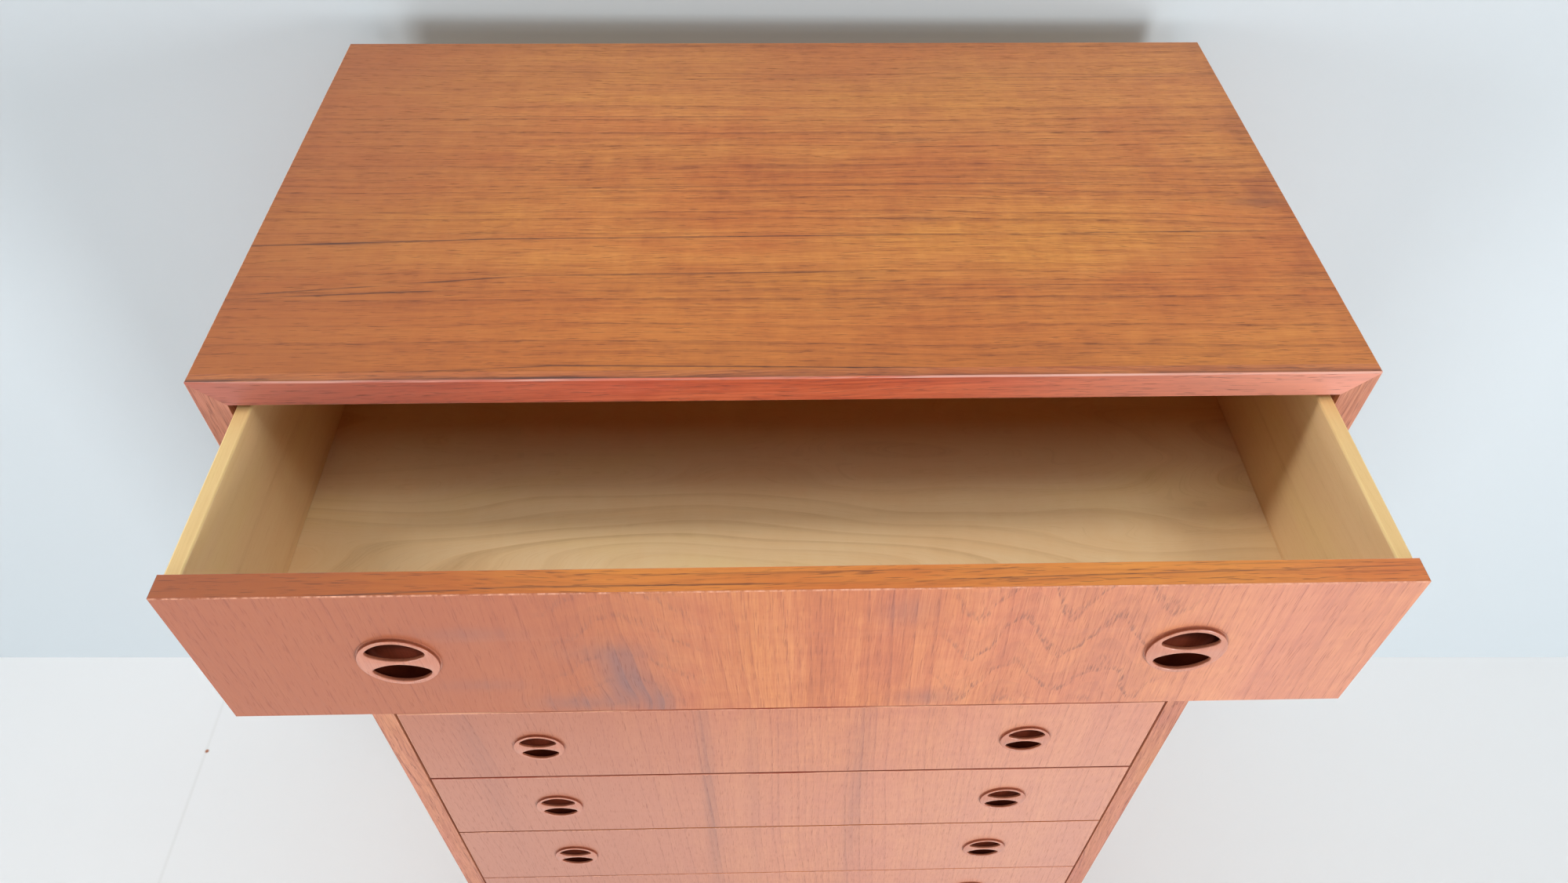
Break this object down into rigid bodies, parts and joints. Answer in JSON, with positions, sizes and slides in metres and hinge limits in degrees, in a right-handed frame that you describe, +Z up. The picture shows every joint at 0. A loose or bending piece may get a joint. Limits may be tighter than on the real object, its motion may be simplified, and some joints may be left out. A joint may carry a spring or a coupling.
{
  "type": "tallboy",
  "caption": "Tall chest of drawers with a mitred case, inset fronts, round turned pulls with a waisted bar, and a low leg frame; one drawer stands open.",
  "frame": {"origin": "middle of the overall footprint, on the floor, with the top drawer standing open as in the picture", "axes": "+X to the right seen from the front, +Y towards the back, +Z up"},
  "size_m": [0.75, 0.5692, 1.1364],
  "materials": {
    "case_veneer": "satin",
    "solid_teak": "satin",
    "base_teak": "satin",
    "runner_hardwood": "matte",
    "back_plywood": "matte",
    "front_veneer": "satin",
    "pull_teak": "satin",
    "drawer_wood": "matte",
    "drawer_plywood": "matte"
  },
  "bodies": {
    "case": {"top_panel": "case_veneer", "bottom_panel": "case_veneer", "side_panel_left": "case_veneer", "side_panel_right": "case_veneer", "lipping_top": "solid_teak", "lipping_bottom": "solid_teak", "lipping_left": "solid_teak", "lipping_right": "solid_teak", "leg_front_left": "base_teak", "leg_front_right": "base_teak", "leg_back_left": "base_teak", "leg_back_right": "base_teak", "base_rails_across": "base_teak", "base_rails_along": "base_teak", "runners_left": "runner_hardwood", "runners_right": "runner_hardwood", "base_corner_blocks": "runner_hardwood", "back_panel": "back_plywood"},
    "drawer_1": {"drawer_1_front": "front_veneer", "drawer_1_side_left": "drawer_wood", "drawer_1_side_right": "drawer_wood", "drawer_1_back": "drawer_wood", "drawer_1_bottom": "drawer_plywood", "drawer_1_pulls": "pull_teak"},
    "drawer_2": {"drawer_2_front": "front_veneer", "drawer_2_side_left": "drawer_wood", "drawer_2_side_right": "drawer_wood", "drawer_2_back": "drawer_wood", "drawer_2_bottom": "drawer_plywood", "drawer_2_pulls": "pull_teak"},
    "drawer_3": {"drawer_3_front": "front_veneer", "drawer_3_side_left": "drawer_wood", "drawer_3_side_right": "drawer_wood", "drawer_3_back": "drawer_wood", "drawer_3_bottom": "drawer_plywood", "drawer_3_pulls": "pull_teak"},
    "drawer_4": {"drawer_4_front": "front_veneer", "drawer_4_side_left": "drawer_wood", "drawer_4_side_right": "drawer_wood", "drawer_4_back": "drawer_wood", "drawer_4_bottom": "drawer_plywood", "drawer_4_pulls": "pull_teak"},
    "drawer_5": {"drawer_5_front": "front_veneer", "drawer_5_side_left": "drawer_wood", "drawer_5_side_right": "drawer_wood", "drawer_5_back": "drawer_wood", "drawer_5_bottom": "drawer_plywood", "drawer_5_pulls": "pull_teak"},
    "drawer_6": {"drawer_6_front": "front_veneer", "drawer_6_side_left": "drawer_wood", "drawer_6_side_right": "drawer_wood", "drawer_6_back": "drawer_wood", "drawer_6_bottom": "drawer_plywood", "drawer_6_pulls": "pull_teak"},
    "drawer_7": {"drawer_7_front": "front_veneer", "drawer_7_side_left": "drawer_wood", "drawer_7_side_right": "drawer_wood", "drawer_7_back": "drawer_wood", "drawer_7_bottom": "drawer_plywood", "drawer_7_pulls": "pull_teak"}
  },
  "joints": [
    {"name": "drawer_1_slide", "type": "slide", "parent": "case", "child": "drawer_1", "axis": [0, -1, 0], "range_m": [-0.145, 0.155]},
    {"name": "drawer_2_slide", "type": "slide", "parent": "case", "child": "drawer_2", "axis": [0, -1, 0], "range_m": [0, 0.3]},
    {"name": "drawer_3_slide", "type": "slide", "parent": "case", "child": "drawer_3", "axis": [0, -1, 0], "range_m": [0, 0.3]},
    {"name": "drawer_4_slide", "type": "slide", "parent": "case", "child": "drawer_4", "axis": [0, -1, 0], "range_m": [0, 0.3]},
    {"name": "drawer_5_slide", "type": "slide", "parent": "case", "child": "drawer_5", "axis": [0, -1, 0], "range_m": [0, 0.3]},
    {"name": "drawer_6_slide", "type": "slide", "parent": "case", "child": "drawer_6", "axis": [0, -1, 0], "range_m": [0, 0.3]},
    {"name": "drawer_7_slide", "type": "slide", "parent": "case", "child": "drawer_7", "axis": [0, -1, 0], "range_m": [0, 0.3]}
  ]
}
